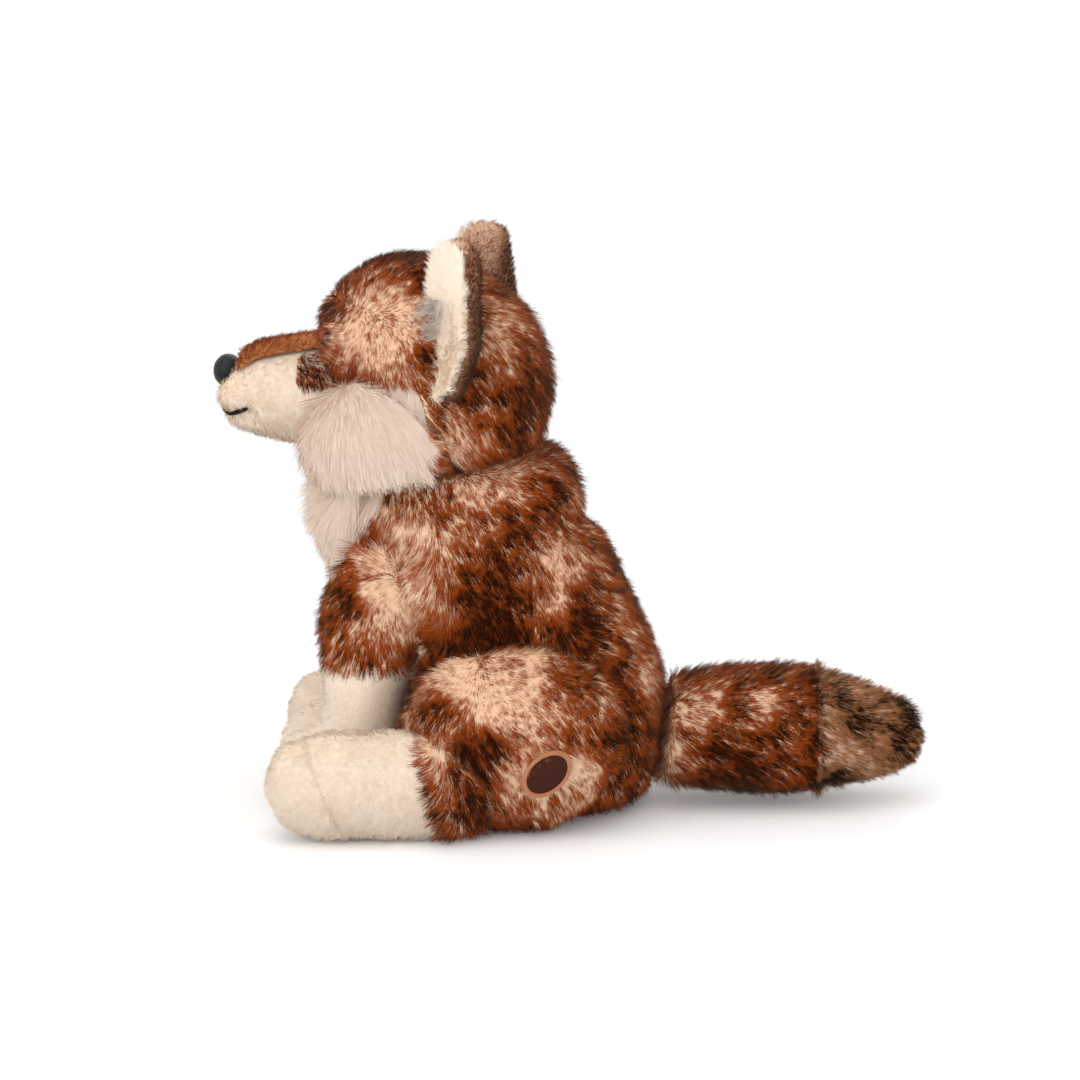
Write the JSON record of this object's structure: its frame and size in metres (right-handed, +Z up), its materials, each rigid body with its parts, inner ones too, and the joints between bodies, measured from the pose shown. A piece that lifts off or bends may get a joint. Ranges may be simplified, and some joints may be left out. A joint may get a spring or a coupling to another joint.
{
  "type": "plush wolf",
  "caption": "Sitting plush wolf with a turned head, cupped ears, cream muzzle and paws, and a thick straight tail; sprung seams let the head, ears, legs and tail bend.",
  "frame": {"origin": "middle of the flat seat, on the surface it sits on", "axes": "+Z up, the wolf faces -Y, its left side is +X"},
  "size_m": [0.1498, 0.2986, 0.2436],
  "materials": {
    "brown_fur": "long tipped pile",
    "grey_brown_fur": "long tipped pile",
    "cream_fur": "long pile",
    "cream_pile": "short plush pile",
    "dark_pile": "short plush pile",
    "rust_pile": "short plush pile",
    "nose_plastic": "satin moulded",
    "eye_plastic": "polished moulded",
    "washer_plastic": "moulded",
    "black_thread": "embroidery thread",
    "badge_thread": "satin stitch",
    "border_thread": "wound thread border",
    "pouch_cloth": "woven",
    "fibre_fill": "loose fibre"
  },
  "bodies": {
    "torso": {"torso_cover": "brown_fur", "chest_panel": "cream_fur", "seat_panel": "brown_fur", "pellet_pouch": "pouch_cloth", "torso_stuffing": "fibre_fill"},
    "neck": {"neck_stuffing": "fibre_fill"},
    "head": {"head_cover": "brown_fur", "head_stuffing": "fibre_fill", "muzzle_cover": "cream_pile", "muzzle_stuffing": "fibre_fill", "muzzle_bridge": "rust_pile", "nose": "nose_plastic", "nose_washer": "washer_plastic", "mouth_stitch": "black_thread", "left_cheek_ruff": "cream_fur", "left_eye": "eye_plastic", "left_eye_washer": "washer_plastic", "right_cheek_ruff": "cream_fur", "right_eye": "eye_plastic", "right_eye_washer": "washer_plastic"},
    "left_ear": {"left_ear_back": "dark_pile", "left_ear_lining": "cream_pile"},
    "right_ear": {"right_ear_back": "dark_pile", "right_ear_lining": "cream_pile"},
    "left_foreleg": {"left_foreleg_sleeve": "brown_fur", "left_forepaw": "cream_pile", "left_foreleg_stuffing": "fibre_fill"},
    "right_foreleg": {"right_foreleg_sleeve": "brown_fur", "right_forepaw": "cream_pile", "right_foreleg_stuffing": "fibre_fill"},
    "left_hind_leg": {"left_thigh": "brown_fur", "left_thigh_stuffing": "fibre_fill", "left_hind_foot": "cream_pile", "left_sole": "cream_pile", "left_hind_foot_stuffing": "fibre_fill", "hip_badge": "badge_thread", "hip_badge_border": "border_thread"},
    "right_hind_leg": {"right_thigh": "brown_fur", "right_thigh_stuffing": "fibre_fill", "right_hind_foot": "cream_pile", "right_sole": "cream_pile", "right_hind_foot_stuffing": "fibre_fill"},
    "tail": {"tail_cover": "brown_fur", "tail_tip": "grey_brown_fur", "tail_stuffing": "fibre_fill"}
  },
  "joints": [
    {"name": "head_turn", "type": "hinge", "parent": "torso", "child": "neck", "pos_m": [0, -0.045, 0.148], "axis": [0, -0.1392, 0.9903], "range_deg": [-30, 30], "stiffness_Nm_per_rad": 0.35},
    {"name": "head_nod", "type": "hinge", "parent": "neck", "child": "head", "pos_m": [0, -0.045, 0.148], "axis": [-0.9903, 0.1378, 0.0194], "range_deg": [-6, 6], "stiffness_Nm_per_rad": 0.5},
    {"name": "left_ear_fold", "type": "hinge", "parent": "head", "child": "left_ear", "pos_m": [0.04417, -0.03997, 0.20216], "axis": [0.784, 0.5541, -0.2799], "range_deg": [-12, 12], "stiffness_Nm_per_rad": 0.03},
    {"name": "right_ear_fold", "type": "hinge", "parent": "head", "child": "right_ear", "pos_m": [-0.03901, -0.02839, 0.20379], "axis": [0.6131, -0.7486, 0.2526], "range_deg": [-12, 12], "stiffness_Nm_per_rad": 0.03},
    {"name": "left_foreleg_swing", "type": "hinge", "parent": "torso", "child": "left_foreleg", "pos_m": [0.021, -0.062, 0.106], "axis": [-1, 0, 0], "range_deg": [0, 20], "stiffness_Nm_per_rad": 0.2},
    {"name": "right_foreleg_swing", "type": "hinge", "parent": "torso", "child": "right_foreleg", "pos_m": [-0.021, -0.062, 0.106], "axis": [-1, 0, 0], "range_deg": [0, 20], "stiffness_Nm_per_rad": 0.2},
    {"name": "left_hind_leg_swing", "type": "hinge", "parent": "torso", "child": "left_hind_leg", "pos_m": [0.04, -0.012, 0.044], "axis": [-1, 0, 0], "range_deg": [0, 20], "stiffness_Nm_per_rad": 0.3},
    {"name": "right_hind_leg_swing", "type": "hinge", "parent": "torso", "child": "right_hind_leg", "pos_m": [-0.04, -0.012, 0.044], "axis": [-1, 0, 0], "range_deg": [0, 20], "stiffness_Nm_per_rad": 0.3},
    {"name": "tail_swing", "type": "hinge", "parent": "torso", "child": "tail", "pos_m": [0, 0.036, 0.032], "axis": [0, 0, 1], "range_deg": [-18, 18], "stiffness_Nm_per_rad": 0.25}
  ]
}
